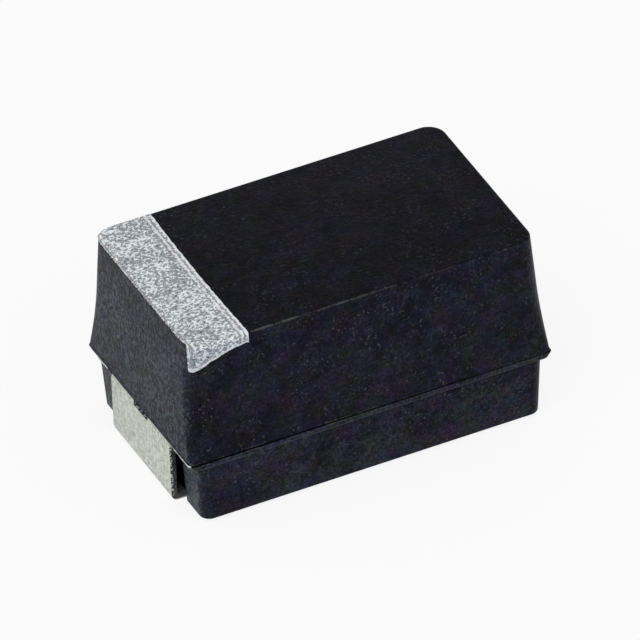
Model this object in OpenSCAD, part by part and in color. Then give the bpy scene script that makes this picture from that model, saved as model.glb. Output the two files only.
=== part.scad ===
// Moulded tantalum chip capacitor with folded solder terminals.
// Millimetres. Origin: bottom centre, on the plane that the two solder pads stand on.
// +X points to the cathode end, -X to the marked anode end, +Z up.

/* [Moulded case] */
// Length of the case at its parting line
case_l = 7.28; // [6.95:0.01:8.8]
// Width of the upper half at its parting line
case_w = 4.28; // [4.2:0.01:5.3]
// Height of the case from its underside to its top
case_h = 3.86; // [3.8:0.01:4.7]
// Height of the parting line above the underside
parting_h = 1.33; // [1.2:0.01:1.6]
// Draft of the upper half's two ends, in degrees
upper_end_draft = 3.6; // [1:0.1:6]
// Draft of the upper half's two long sides, in degrees
upper_side_draft = 1.9; // [1:0.1:6]
// Corner radius over the upper part of the upper half
corner_r = 0.36; // [0.2:0.01:0.5]
// Corner radius left at the parting line, where the corners flare out nearly sharp
corner_r_parting = 0.09; // [0.05:0.01:0.2]
// Height above the parting line over which the corners flare
corner_flare_h = 1.4; // [0.6:0.05:2]
// Radius of the edge round the top
top_edge_r = 0.05; // [0.03:0.01:0.15]

/* [Lower half of the case] */
// Gap left by the lower half's ends, for the folded terminals, under the upper half's overhang
lower_end_setback = 0.15; // [0.15:0.01:0.3]
// Ledge that the lower half leaves along each long side at the parting line
lower_side_ledge = 0.05; // [0:0.01:0.15]
// Draft of the lower half's two ends, in degrees
lower_end_draft = 2.7; // [1:0.1:6]
// Draft of the lower half's two long sides, in degrees
lower_side_draft = 3.8; // [1:0.1:10]
// Corner radius of the lower half
lower_corner_r = 0.21; // [0.1:0.01:0.4]
// Radius of the edges round the underside
underside_edge_r = 0.04; // [0.03:0.01:0.15]
// Radius of the ledge's edge
ledge_edge_r = 0.02; // [0.02:0.01:0.06]
// Mismatch of the two mould halves, in degrees about the vertical
mould_twist = 0.2; // [0:0.05:1]

/* [Terminals] */
// Width of both folded terminals
terminal_w = 2.44; // [2:0.01:2.6]
// Thickness of the terminal strip
terminal_t = 0.12; // [0.1:0.01:0.15]
// Inner radius of every bend in the strip
bend_r = 0.07; // [0.05:0.01:0.12]
// Length of the pad that folds under the case
pad_l = 1.3; // [1:0.05:1.6]
// Height of the case's underside above the solder plane
stand_off = 0.04; // [0.02:0.01:0.1]
// Play round each pad in its pocket in the case's underside
pad_clearance = 0.05; // [0.02:0.01:0.1]
// Step back of the terminal's face from the case's edge at the parting line
face_setback = 0.02; // [0:0.01:0.05]
// Width of the slot stamped through the anode terminal's upper bend
slot_w = 0.56; // [0.3:0.01:1]
// Depth of the slot below the parting line
slot_depth = 0.15; // [0.1:0.01:0.4]
// Width of the anode's upright tongue inside the case
tongue_w = 1.3; // [0.9:0.05:2]
// Width of the cathode's paddle under the pellet
paddle_w = 2; // [1.4:0.05:2.3]
// Length of the paddle under the pellet
paddle_l = 2.4; // [1:0.1:3.5]

/* [Capacitor element] */
// Length of the sintered tantalum pellet
pellet_l = 4.65; // [4:0.05:4.8]
// Width of the pellet
pellet_w = 2.9; // [2.4:0.05:3.1]
// Height of the pellet
pellet_h = 2.6; // [2:0.05:2.7]
// Radius of the pellet's long edges
pellet_edge_r = 0.2; // [0.1:0.01:0.4]
// Thickness of the manganese dioxide coat
dioxide_t = 0.04; // [0.03:0.01:0.06]
// Thickness of the graphite coat
graphite_t = 0.02; // [0.02:0.01:0.04]
// Thickness of the silver coat
silver_t = 0.04; // [0.03:0.01:0.06]
// Thickness of the silver adhesive between pellet and paddle
adhesive_t = 0.05; // [0.03:0.01:0.08]
// Diameter of the tantalum riser wire
wire_d = 0.44; // [0.3:0.01:0.6]
// Depth of the wire inside the pellet
wire_depth = 2.4; // [1:0.1:3.5]
// Diameter of the fluoropolymer washer on the wire
washer_d = 1.1; // [0.9:0.05:1.6]
// Thickness of the washer
washer_t = 0.15; // [0.1:0.01:0.25]

/* [Polarity band] */
// Width of the band across the top
band_w = 1.15; // [0.8:0.01:1.6]
// Distance of the band's outer edge from the case's end at the parting line
band_edge = 0.15; // [0.1:0.01:0.4]
// Thickness of the marked skin
band_t = 0.02; // [0.01:0.005:0.04]
// Length by which the band runs down the front side at its outer corner
band_wrap_outer = 0.55; // [0.2:0.01:0.8]
// Length by which the band runs down the front side at its inner corner
band_wrap_inner = 0.18; // [0.05:0.01:0.5]
// Turn of the band about the vertical, in degrees
band_turn = 1; // [0:0.1:3]

/* [Hidden] */
$fn = 64;
corner_steps = 8;
flare_steps = 5;
edge_steps = 3;
over = 1;

// Heights
parting_z = stand_off + parting_h;
top_z = stand_off + case_h;

// Terminal strip
bend_out_r = bend_r + terminal_t;
face_x = case_l / 2 - face_setback;
exit_x = case_l / 2 - lower_end_setback;
strip_z = parting_z - terminal_t;

// Element: it stands on the paddle, which clears the pads below it
paddle_z = 0.45;
coat_t = dioxide_t + graphite_t + silver_t;
pellet_z = paddle_z + terminal_t + adhesive_t + coat_t;
pellet_x1 = 2.7;
pellet_x0 = pellet_x1 - pellet_l;
wire_z = pellet_z + pellet_h / 2;

// Cathode strip drops behind the pellet
drop_gap = 0.08;
drop_x = pellet_x1 + coat_t + drop_gap;

// Anode tongue stands up in front of the washer
tongue_gap = 0.7;
tongue_x = pellet_x0 - washer_t - tongue_gap;
tongue_over_wire = 0.12;
tongue_top = wire_z + tongue_over_wire;
wire_overhang = 0.06;
wire_x0 = tongue_x - terminal_t - wire_overhang;

// Coats that start behind the pellet's front face
graphite_start = 0.15;
silver_start = 0.3;

function arc_point(cx, cy, r, a) = [cx + r * cos(a), cy + r * sin(a)];

// One closed ring of a rounded rectangle, anticlockwise from +X
function ring(hx, hy, r, z) = [
    for (quarter = [0 : 3], step = [0 : corner_steps])
        let (
            a = 90 * (quarter + step / corner_steps),
            side_x = quarter == 0 || quarter == 3 ? 1 : -1,
            side_y = quarter < 2 ? 1 : -1,
            p = arc_point(side_x * (hx - r), side_y * (hy - r), r, a)
        )
        [p.x, p.y, z]
];

// Corner radius of the upper half at a height above the parting line
function flared_r(h) =
    corner_r_parting + (corner_r - corner_r_parting) * sin(90 * min(1, h / corner_flare_h));

// Ring of the upper half at a height above the parting line, taken in by an edge's rounding
function upper_ring(h, inset, z) =
    ring(
        case_l / 2 - h * tan(upper_end_draft) - inset,
        case_w / 2 - h * tan(upper_side_draft) - inset,
        max(flared_r(h) - inset, 0.02),
        z
    );

// Ring of the lower half at a depth below the parting line
function lower_ring(d, inset, z) =
    ring(
        exit_x - d * tan(lower_end_draft) - inset,
        case_w / 2 + lower_side_ledge - d * tan(lower_side_draft) - inset,
        max(lower_corner_r - inset, 0.02),
        z
    );

// Solid through a stack of rings that all have the same number of points
module loft(rings) {
    n = len(rings[0]);
    last = len(rings) - 1;
    points = [for (r = rings) each r];
    sides = [
        for (k = [0 : last - 1], i = [0 : n - 1])
            let (a = k * n + i, b = k * n + (i + 1) % n)
            each [[a, a + n, b], [b, a + n, b + n]]
    ];
    bottom = [for (i = [0 : n - 1]) i];
    top = [for (i = [0 : n - 1]) last * n + n - 1 - i];
    polyhedron(points = points, faces = concat(sides, [bottom, top]));
}

// Trim to one side of the parting plane, where the two mould halves meet
module above_parting() {
    intersection() {
        children();
        translate([-case_l, -case_w, parting_z]) cube([2 * case_l, 2 * case_w, case_h]);
    }
}

module below_parting() {
    intersection() {
        children();
        translate([-case_l, -case_w, parting_z - case_h]) cube([2 * case_l, 2 * case_w, case_h]);
    }
}

module upper_half() {
    side_h = case_h - parting_h - top_edge_r;
    flare = [for (i = [0 : flare_steps]) min(side_h, corner_flare_h) * i / flare_steps];
    walls = [for (h = concat(flare, [side_h])) upper_ring(h, 0, parting_z + h)];
    edge = [
        for (i = [1 : edge_steps])
            let (a = 90 * i / edge_steps)
            upper_ring(
                side_h + top_edge_r * sin(a),
                top_edge_r * (1 - cos(a)),
                parting_z + side_h + top_edge_r * sin(a)
            )
    ];
    above_parting() loft(concat(walls, edge));
}

module lower_half() {
    underside = [
        for (i = [0 : edge_steps])
            let (a = 90 * i / edge_steps, h = underside_edge_r * (1 - cos(a)))
            lower_ring(parting_h - h, underside_edge_r * (1 - sin(a)), stand_off + h)
    ];
    ledge = [
        for (i = [0 : edge_steps])
            let (a = 90 * i / edge_steps, d = ledge_edge_r * (1 - sin(a)))
            lower_ring(d, ledge_edge_r * (1 - cos(a)), parting_z - d)
    ];
    below_parting() rotate([0, 0, mould_twist]) loft(concat(underside, ledge));
}

// Outside of the whole moulding, both halves in one
module case_outside() {
    upper_half();
    lower_half();
}

// Quarter of a bend in the strip's profile, turned to the quadrant where it lies
module bend(x, z, quadrant) {
    translate([x, z]) rotate(90 * quadrant) intersection() {
        difference() {
            circle(bend_out_r);
            circle(bend_r);
        }
        square(bend_out_r);
    }
}

module bar(x0, z0, x1, z1) {
    translate([x0, z0]) square([x1 - x0, z1 - z0]);
}

// Profile of the folded lead outside the case: pad, upright face and entry under the overhang
module lead_profile(entry_x) {
    bar(face_x - pad_l, 0, face_x - bend_out_r, terminal_t);
    bend(face_x - bend_out_r, bend_out_r, 3);
    bar(face_x - terminal_t, bend_out_r, face_x, parting_z - bend_out_r);
    bend(face_x - bend_out_r, parting_z - bend_out_r, 0);
    bar(entry_x, strip_z, face_x - bend_out_r, parting_z);
}

// Extrude a profile drawn in X and Z along Y, centred
module across(w) {
    translate([0, w / 2, 0]) rotate([90, 0, 0]) linear_extrude(w) children();
}

module tongue_profile() {
    x = -tongue_x;
    bar(x, parting_z + bend_r, x + terminal_t, tongue_top);
    bend(x + bend_out_r, parting_z + bend_r, 2);
    bar(x + bend_out_r, strip_z, exit_x, parting_z);
}

module riser_wire() {
    color("slategray") translate([wire_x0, 0, wire_z]) rotate([0, 90, 0])
        cylinder(d = wire_d, h = pellet_x0 + wire_depth - wire_x0);
}

// Anode strip: folded outside, with a notched tongue inside that the wire lies in
module anode_terminal() {
    color("tan") difference() {
        union() {
            mirror([1, 0, 0]) across(terminal_w) lead_profile(exit_x - bend_out_r);
            mirror([1, 0, 0]) across(tongue_w) tongue_profile();
        }
        translate([-face_x - over, -slot_w / 2, parting_z - slot_depth])
            cube([over + 2 * terminal_t, slot_w, over]);
        translate([wire_x0 - over, 0, wire_z]) rotate([0, 90, 0]) cylinder(d = wire_d, h = 3 * over);
        translate([wire_x0 - over, -wire_d / 2, wire_z]) cube([3 * over, wire_d, over]);
    }
}

// Cathode strip: folded outside, with a paddle inside that the pellet stands on
module cathode_terminal() {
    color("tan") {
        across(terminal_w) lead_profile(exit_x - bend_out_r);
        across(paddle_w) {
            bar(drop_x + bend_out_r, strip_z, exit_x, parting_z);
            bend(drop_x + bend_out_r, strip_z - bend_r, 1);
            bar(drop_x, paddle_z + bend_out_r, drop_x + terminal_t, strip_z - bend_r);
            bend(drop_x - bend_r, paddle_z + bend_out_r, 3);
            bar(drop_x - bend_r - paddle_l, paddle_z, drop_x - bend_r, paddle_z + terminal_t);
        }
    }
}

// Block with the pellet's section, grown by a coat, from one place along X to another
module pellet_block(grow, x0, x1) {
    translate([x0, 0, wire_z]) rotate([90, 0, 90]) linear_extrude(x1 - x0) {
        r = pellet_edge_r + grow;
        hy = pellet_w / 2 + grow;
        hz = pellet_h / 2 + grow;
        square([2 * hy, 2 * (hz - r)], center = true);
        square([2 * (hy - r), 2 * hz], center = true);
        for (y = [-1, 1], z = [-1, 1]) translate([y * (hy - r), z * (hz - r)]) circle(r);
    }
}

module tantalum_pellet() {
    color("dimgray") difference() {
        pellet_block(0, pellet_x0, pellet_x1);
        riser_wire();
    }
}

module washer() {
    color("ivory") difference() {
        translate([pellet_x0 - washer_t, 0, wire_z]) rotate([0, 90, 0]) cylinder(d = washer_d, h = washer_t);
        riser_wire();
    }
}

module manganese_dioxide_coat() {
    color("black") difference() {
        pellet_block(dioxide_t, pellet_x0 - dioxide_t, pellet_x1 + dioxide_t);
        pellet_block(0, pellet_x0, pellet_x1);
        translate([pellet_x0 - over, 0, wire_z]) rotate([0, 90, 0]) cylinder(d = washer_d, h = 2 * over);
    }
}

module graphite_coat() {
    inner = dioxide_t;
    outer = dioxide_t + graphite_t;
    color("darkslategray") difference() {
        pellet_block(outer, pellet_x0 + graphite_start, pellet_x1 + outer);
        pellet_block(inner, pellet_x0, pellet_x1 + inner);
    }
}

module silver_coat() {
    inner = dioxide_t + graphite_t;
    color("silver") difference() {
        pellet_block(coat_t, pellet_x0 + silver_start, pellet_x1 + coat_t);
        pellet_block(inner, pellet_x0, pellet_x1 + inner);
    }
}

module silver_adhesive() {
    margin = 0.1;
    length = paddle_l - 2 * margin;
    color("lightgray")
        translate([drop_x - bend_r - paddle_l + margin, margin - paddle_w / 2, paddle_z + terminal_t])
        cube([length, paddle_w - 2 * margin, adhesive_t]);
}

// Fused metal over the wire where it lies in the tongue's notch
module weld_nugget() {
    nugget_r = wire_d / 2 + 0.1;
    nugget_l = terminal_t + 0.1;
    color("lightslategray") difference() {
        translate([tongue_x - terminal_t / 2 - nugget_l / 2, 0, wire_z]) rotate([0, 90, 0])
            cylinder(r = nugget_r, h = nugget_l);
        translate([tongue_x - over, -over, wire_z - 2 * over]) cube([2 * over, 2 * over, 2 * over]);
        riser_wire();
        anode_terminal();
    }
}

// Band's outline seen from the front: it hangs lower over the front side at its outer corner
module band_window() {
    outer_z = top_z - band_wrap_outer;
    inner_z = top_z - band_wrap_inner;
    far_z = top_z + over;
    translate([band_edge - case_l / 2, 0, 0]) rotate([0, 0, band_turn])
        across(2 * case_w) polygon([[0, outer_z], [band_w, inner_z], [band_w, far_z], [0, far_z]]);
}

// Marked skin, cut from the outermost layer of the top and the front side
module polarity_band() {
    color("gainsboro") intersection() {
        difference() {
            upper_half();
            translate([0, band_t, -band_t]) upper_half();
        }
        band_window();
    }
}

// Pocket that the pad folds into, in the underside
module pad_pocket() {
    translate([face_x - pad_l - pad_clearance, -terminal_w / 2 - pad_clearance, -over])
        cube([case_l, terminal_w + 2 * pad_clearance, over + terminal_t + pad_clearance]);
}

// Both halves are one moulding, cast round the element and the two strips
module moulded_case() {
    color("#1e1e24") difference() {
        case_outside();
        pad_pocket();
        mirror([1, 0, 0]) pad_pocket();
        anode_terminal();
        cathode_terminal();
        polarity_band();
        tantalum_pellet();
        riser_wire();
        washer();
        manganese_dioxide_coat();
        graphite_coat();
        silver_coat();
        silver_adhesive();
        weld_nugget();
    }
}

moulded_case();
anode_terminal();
cathode_terminal();
polarity_band();
tantalum_pellet();
riser_wire();
washer();
manganese_dioxide_coat();
graphite_coat();
silver_coat();
silver_adhesive();
weld_nugget();
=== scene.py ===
"""Moulded tantalum chip capacitor: meshes, finishes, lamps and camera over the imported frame."""

import logging
import math
from collections.abc import Callable, Iterator, Sequence
from dataclasses import dataclass
from enum import Enum

import bmesh
import bpy
from mathutils import Matrix, Vector, noise


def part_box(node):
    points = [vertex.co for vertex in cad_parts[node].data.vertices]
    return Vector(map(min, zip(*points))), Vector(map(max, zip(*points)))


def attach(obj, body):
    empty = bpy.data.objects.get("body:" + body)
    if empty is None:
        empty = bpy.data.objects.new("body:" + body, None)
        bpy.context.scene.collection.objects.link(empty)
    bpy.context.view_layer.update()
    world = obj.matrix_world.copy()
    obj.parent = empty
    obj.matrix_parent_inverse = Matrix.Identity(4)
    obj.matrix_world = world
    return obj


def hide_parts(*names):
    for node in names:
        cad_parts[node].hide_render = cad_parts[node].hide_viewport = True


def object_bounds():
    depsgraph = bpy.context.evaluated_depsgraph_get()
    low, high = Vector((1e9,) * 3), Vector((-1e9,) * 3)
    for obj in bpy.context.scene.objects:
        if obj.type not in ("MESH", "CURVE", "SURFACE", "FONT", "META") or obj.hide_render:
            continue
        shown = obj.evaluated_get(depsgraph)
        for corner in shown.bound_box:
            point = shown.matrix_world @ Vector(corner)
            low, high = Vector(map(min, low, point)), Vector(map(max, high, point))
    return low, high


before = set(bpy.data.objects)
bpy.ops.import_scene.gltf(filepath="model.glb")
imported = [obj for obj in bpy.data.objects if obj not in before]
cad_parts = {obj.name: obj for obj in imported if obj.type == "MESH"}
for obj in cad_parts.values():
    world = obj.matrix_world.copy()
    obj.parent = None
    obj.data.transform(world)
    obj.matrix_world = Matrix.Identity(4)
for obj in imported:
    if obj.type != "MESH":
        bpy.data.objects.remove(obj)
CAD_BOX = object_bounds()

Piece = bpy.types.Object
Socket = bpy.types.NodeSocket
Colour = tuple[float, float, float]
Span = tuple[float, float]

LOG = logging.getLogger("chip_capacitor")
METRES_PER_MM = 0.001
MM_PER_METRE = 1000.0
TOUCH = 1e-4
QUARTER_TURN = math.radians(90.0)
PARTING_Z = 1.37


class End(Enum):
    """The two ends of the chip along X."""

    ANODE = -1
    CATHODE = 1


class Slot(Enum):
    """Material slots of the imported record."""

    MOULDING = "case_moulding"
    STRIP = "tinned_strip"
    BAND = "band_mark"
    TANTALUM = "sintered_tantalum"
    WIRE = "tantalum_wire"
    WASHER = "fluoropolymer"
    DIOXIDE = "manganese_dioxide"
    GRAPHITE = "graphite"
    SILVER = "silver_paint"
    WELD = "weld_metal"


# ---------------------------------------------------------------- bench work


def node_box_mm(node: str) -> tuple[Vector, Vector]:
    """Lowest and highest corner of a CAD node, in millimetres."""
    low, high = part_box(node)
    return low * MM_PER_METRE, high * MM_PER_METRE


def clear_selection() -> None:
    """Leave edit mode and deselect every object."""
    if bpy.context.object and bpy.context.object.mode != "OBJECT":
        bpy.ops.object.mode_set(mode="OBJECT")
    bpy.ops.object.select_all(action="DESELECT")


def take(piece: Piece) -> None:
    """Select one piece alone and make it active.

    Args:
        piece: The object to work on.
    """
    clear_selection()
    piece.select_set(True)
    bpy.context.view_layer.objects.active = piece


def open_mesh(piece: Piece, mode: str) -> bmesh.types.BMesh:
    """Open a piece in edit mode with nothing selected.

    Args:
        piece: The object to edit.
        mode: Kind of element that is picked: VERT, EDGE or FACE.

    Returns:
        The mesh being edited.
    """
    take(piece)
    bpy.ops.object.mode_set(mode="EDIT")
    bpy.ops.mesh.select_mode(type=mode)
    bpy.ops.mesh.select_all(action="DESELECT")
    return bmesh.from_edit_mesh(piece.data)


def pick(
    piece: Piece,
    mode: str,
    test: Callable[[bmesh.types.BMVert | bmesh.types.BMEdge | bmesh.types.BMFace], bool],
) -> int:
    """Select the elements of an opened mesh that pass a test.

    Args:
        piece: The object in edit mode.
        mode: Kind of element that is picked: VERT, EDGE or FACE.
        test: Says whether an element is picked.

    Returns:
        How many elements were picked.
    """
    bpy.ops.mesh.select_mode(type=mode)
    bpy.ops.mesh.select_all(action="DESELECT")
    mesh = bmesh.from_edit_mesh(piece.data)
    elements = {"VERT": mesh.verts, "EDGE": mesh.edges, "FACE": mesh.faces}[mode]
    elements.ensure_lookup_table()
    chosen = [element for element in elements if test(element)]
    for element in chosen:
        element.select_set(True)
    mesh.select_flush_mode()
    bmesh.update_edit_mesh(piece.data)
    return len(chosen)


def slice_mesh(point: Vector, normal: Vector) -> None:
    """Cut the whole opened mesh with a plane through a point."""
    bpy.ops.mesh.select_all(action="SELECT")
    bpy.ops.mesh.bisect(plane_co=point, plane_no=normal, threshold=TOUCH)


def apply_modifier(piece: Piece, kind: str, **settings: object) -> None:
    """Add a modifier to a piece and apply it at once.

    Args:
        piece: The object to modify.
        kind: Type of modifier.
        settings: Values set on the modifier.
    """
    take(piece)
    modifier = piece.modifiers.new(kind.title(), kind)
    for name, value in settings.items():
        setattr(modifier, name, value)
    bpy.ops.object.modifier_apply(modifier=modifier.name)


def weld_sheet(sheet: Piece, up: float) -> None:
    """Merge a sheet's doubled points and turn its faces outward.

    Args:
        sheet: The open sheet.
        up: 1 if its highest face looks up, -1 if its lowest looks down.
    """
    open_mesh(sheet, "VERT")
    bpy.ops.mesh.select_all(action="SELECT")
    bpy.ops.mesh.remove_doubles(threshold=TOUCH)
    bpy.ops.mesh.normals_make_consistent(inside=False)
    mesh = bmesh.from_edit_mesh(sheet.data)
    outermost = max(mesh.faces, key=lambda face: up * face.calc_center_median().z)
    if up * outermost.normal.z < 0.0:
        bmesh.ops.reverse_faces(mesh, faces=mesh.faces[:])
    bmesh.update_edit_mesh(sheet.data)
    bpy.ops.object.mode_set(mode="OBJECT")


def join(name: str, pieces: Sequence[Piece]) -> Piece:
    """Join several objects in one.

    Args:
        name: Name of the joined piece.
        pieces: The objects to join.

    Returns:
        The joined piece.
    """
    take(pieces[0])
    for piece in pieces[1:]:
        piece.select_set(True)
    bpy.ops.object.join()
    pieces[0].name = name
    return pieces[0]


def hand_over(
    piece: Piece,
    finish: bpy.types.Material,
    slot: Slot,
    nodes: Sequence[str],
    smooth_deg: float,
) -> None:
    """Dress a piece modelled in millimetres, bring it to metres and place it on the frame.

    Args:
        piece: The finished mesh, in millimetres about the origin.
        finish: The piece's material.
        slot: Material slot that its finish belongs to.
        nodes: CAD nodes that it stands for.
        smooth_deg: Edges sharper than this angle stay sharp, in degrees.
    """
    piece.data.materials.clear()
    piece.data.materials.append(finish)
    take(piece)
    bpy.ops.object.transform_apply(location=True, rotation=True, scale=True)
    piece.scale = (METRES_PER_MM,) * 3
    bpy.ops.object.transform_apply(location=False, rotation=False, scale=True)
    bpy.ops.object.shade_smooth_by_angle(angle=math.radians(smooth_deg))
    clear_selection()
    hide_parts(*nodes)
    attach(piece, "root")
    triangles = sum(len(face.vertices) - 2 for face in piece.data.polygons)
    LOG.info("%s: %d triangles, slot %s", piece.name, triangles, slot.value)


# ---------------------------------------------------------------- shader work


@dataclass(frozen=True)
class Grain:
    """A noise pattern, and the levels of it between which a mask rises."""

    per_mm: float
    detail: float
    roughness: float
    low: float
    high: float
    to_low: float = 0.0
    to_high: float = 1.0


class NodeBench:
    """Lays out and wires the nodes of one node tree."""

    def __init__(self, tree: bpy.types.NodeTree) -> None:
        """Start on the tree that nodes are added to."""
        self.tree = tree

    def add(self, kind: str, **settings: object) -> bpy.types.Node:
        """Add one node.

        Args:
            kind: The node's type name.
            settings: Values set on the node itself.

        Returns:
            The new node.
        """
        node = self.tree.nodes.new(kind)
        for name, value in settings.items():
            setattr(node, name, value)
        return node

    def wire(self, target: Socket, value: object) -> None:
        """Feed a socket from another socket, or set it to a constant.

        Args:
            target: The input to feed.
            value: An output socket, a number, or a sequence of numbers.
        """
        if isinstance(value, Socket):
            self.tree.links.new(value, target)
        elif value is not None:
            target.default_value = value

    def math(
        self,
        operation: str,
        first: object,
        second: object = None,
        third: object = None,
        clamp: bool = False,
    ) -> Socket:
        """Add a Math node.

        Args:
            operation: What it works out.
            first: First input.
            second: Second input.
            third: Third input.
            clamp: Whether the result is held between 0 and 1.

        Returns:
            Its result.
        """
        node = self.add("ShaderNodeMath", operation=operation, use_clamp=clamp)
        for socket, value in zip(node.inputs, (first, second, third)):
            self.wire(socket, value)
        return node.outputs[0]

    def times(self, *factors: object) -> Socket:
        """Multiply several values.

        Args:
            factors: Sockets or numbers, two or more.

        Returns:
            The product.
        """
        product = factors[0]
        for factor in factors[1:]:
            product = self.math("MULTIPLY", product, factor)
        return product

    def size(self, value: object) -> Socket:
        """A value without its sign."""
        return self.math("ABSOLUTE", value)

    def remap(
        self,
        value: object,
        from_low: object,
        from_high: object,
        to_low: float = 0.0,
        to_high: float = 1.0,
    ) -> Socket:
        """Map a range of values to another, clamped and eased at both ends.

        Args:
            value: The value to map.
            from_low: Value that gives to_low.
            from_high: Value that gives to_high.
            to_low: Lower result.
            to_high: Upper result.

        Returns:
            The mapped value.
        """
        node = self.add("ShaderNodeMapRange", interpolation_type="SMOOTHSTEP", clamp=True)
        for socket, item in zip(node.inputs, (value, from_low, from_high, to_low, to_high)):
            self.wire(socket, item)
        return node.outputs[0]

    def between(self, value: object, rise: Span, fall: Span) -> Socket:
        """Mask of a range of values, which rises over one span and falls over another."""
        return self.times(self.remap(value, *rise), self.remap(value, fall[1], fall[0]))

    def blend(self, factor: object, first: object, second: object, how: str = "MIX") -> Socket:
        """Mix two colours.

        Args:
            factor: How much of the second colour.
            first: First colour, as a socket or three numbers.
            second: Second colour.
            how: Blend type.

        Returns:
            The mixed colour.
        """
        node = self.add("ShaderNodeMix", data_type="RGBA", blend_type=how)
        self.wire(node.inputs["Factor"], factor)
        for socket, colour in zip(node.inputs[6:8], (first, second)):
            self.wire(socket, (*colour, 1.0) if isinstance(colour, tuple) else colour)
        return node.outputs[2]

    def cloud(
        self,
        vector: object,
        scale: float,
        detail: float = 2.0,
        roughness: float = 0.5,
        colour: bool = False,
    ) -> Socket:
        """Add a noise pattern.

        Args:
            vector: Coordinates that it follows.
            scale: Features per unit.
            detail: Octaves of finer noise.
            roughness: Strength of the finer octaves.
            colour: Whether the colour output is wanted, not the value.

        Returns:
            The pattern.
        """
        node = self.add("ShaderNodeTexNoise", noise_dimensions="3D")
        self.wire(node.inputs["Vector"], vector)
        self.wire(node.inputs["Scale"], scale)
        self.wire(node.inputs["Detail"], detail)
        self.wire(node.inputs["Roughness"], roughness)
        return node.outputs["Color" if colour else "Fac"]

    def grain(self, vector: object, grain: Grain) -> Socket:
        """Mask of a noise pattern between its two levels."""
        pattern = self.cloud(vector, grain.per_mm, grain.detail, grain.roughness)
        return self.remap(pattern, grain.low, grain.high, grain.to_low, grain.to_high)

    def stretch(self, colour: object, gain: float) -> Socket:
        """Spread a colour noise away from its middle, so that the middle becomes 1.

        Args:
            colour: Noise colour, about 0.5 in the middle.
            gain: How far it is spread.

        Returns:
            The spread colour, as a factor to multiply by.
        """
        node = self.add("ShaderNodeVectorMath", operation="MULTIPLY_ADD")
        self.wire(node.inputs[0], colour)
        node.inputs[1].default_value = (gain,) * 3
        node.inputs[2].default_value = (1.0 - gain / 2.0,) * 3
        return node.outputs[0]

    def grey(self, value: object) -> Socket:
        """Make a grey colour from a value.

        Args:
            value: Level of the three channels.

        Returns:
            The colour.
        """
        node = self.add("ShaderNodeCombineColor")
        for socket in node.inputs[:3]:
            self.wire(socket, value)
        return node.outputs[0]

    def place(
        self,
        vector: object,
        shift: Sequence[float] = (0.0, 0.0, 0.0),
        scale: Sequence[float] = (1.0, 1.0, 1.0),
    ) -> Socket:
        """Move and scale coordinates.

        Args:
            vector: Coordinates to map.
            shift: Offset added.
            scale: Factors along X, Y and Z.

        Returns:
            The mapped coordinates.
        """
        node = self.add("ShaderNodeMapping")
        self.wire(node.inputs["Vector"], vector)
        node.inputs["Location"].default_value = shift
        node.inputs["Scale"].default_value = scale
        return node.outputs[0]

    def split(self, vector: object) -> tuple[Socket, Socket, Socket]:
        """Split a vector.

        Args:
            vector: The vector.

        Returns:
            Its X, Y and Z.
        """
        node = self.add("ShaderNodeSeparateXYZ")
        self.wire(node.inputs[0], vector)
        return node.outputs[0], node.outputs[1], node.outputs[2]

    def use(self, group: bpy.types.NodeTree, **values: object) -> bpy.types.Node:
        """Place a node group and feed its inputs.

        Args:
            group: The group's tree.
            values: Inputs by name, with underscores for spaces.

        Returns:
            The group node.
        """
        node = self.add("ShaderNodeGroup", node_tree=group)
        for name, value in values.items():
            self.wire(node.inputs[name.replace("_", " ")], value)
        return node


class MaterialBench(NodeBench):
    """Bench of one material, with its shader and the place on the piece in millimetres."""

    def __init__(self, material: bpy.types.Material) -> None:
        """Start on a material.

        Args:
            material: The material, with its Principled shader.
        """
        super().__init__(material.node_tree)
        self.shader = material.node_tree.nodes["Principled BSDF"]
        source = self.add("ShaderNodeTexCoord").outputs["Object"]
        self.at = self.place(source, scale=(MM_PER_METRE,) * 3)
        self.along, self.aside, self.height = self.split(self.at)

    def facing(self, axis: int, output: str = "Normal") -> Socket:
        """How squarely the surface faces along one axis, either way."""
        return self.size(self.split(self.add("ShaderNodeNewGeometry").outputs[output])[axis])

    def dress(self, relief: Socket, depth_mm: float, **inputs: object) -> None:
        """Feed the shader, and raise its normal by a height pattern.

        Args:
            relief: The pattern, from 0 to 1.
            depth_mm: Real depth of the pattern, in millimetres.
            inputs: The shader's inputs by name, with underscores for spaces.
        """
        for name, value in inputs.items():
            self.wire(self.shader.inputs[name.replace("_", " ")], value)
        bump = self.add("ShaderNodeBump")
        bump.inputs["Strength"].default_value = 1.0
        bump.inputs["Distance"].default_value = depth_mm * METRES_PER_MM
        self.wire(bump.inputs["Height"], relief)
        self.wire(self.shader.inputs["Normal"], bump.outputs[0])


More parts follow.
